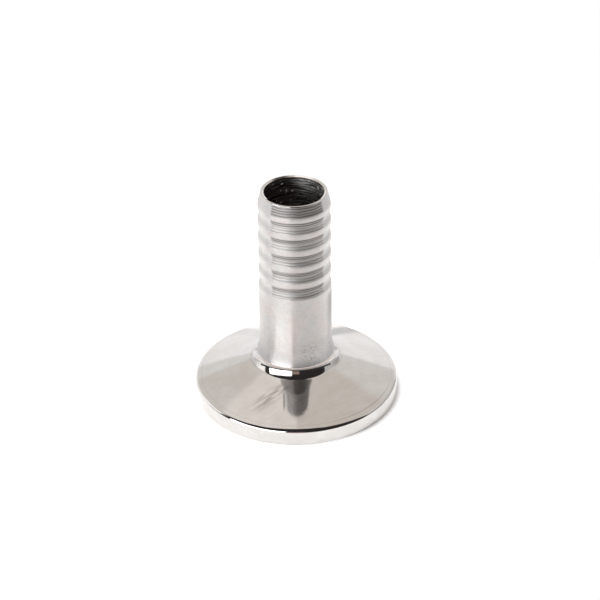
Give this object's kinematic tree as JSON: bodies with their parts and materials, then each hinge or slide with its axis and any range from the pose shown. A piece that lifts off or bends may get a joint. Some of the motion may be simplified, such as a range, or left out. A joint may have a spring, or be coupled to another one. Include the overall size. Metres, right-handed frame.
{
  "type": "clamp ferrule hose adapter",
  "caption": "Stainless hygienic clamp ferrule with a straight ribbed hose stem: flat gasket face, conical clamp rim and an open bore.",
  "frame": {"origin": "centre of the bore in the plane of the sealing face, the face that the part stands on", "axes": "+Z along the bore from the sealing face to the mouth; X and Y are interchangeable, because the part is turned"},
  "size_m": [0.034, 0.034, 0.0375],
  "materials": {
    "polished_steel": "mirror polished stainless steel with faint buffing haze",
    "satin_steel": "satin turned stainless steel, polished at the lip"
  },
  "bodies": {
    "root": {"clamp_ferrule": "polished_steel", "neck_weld": "satin_steel", "barbed_stem": "satin_steel"}
  },
  "joints": []
}
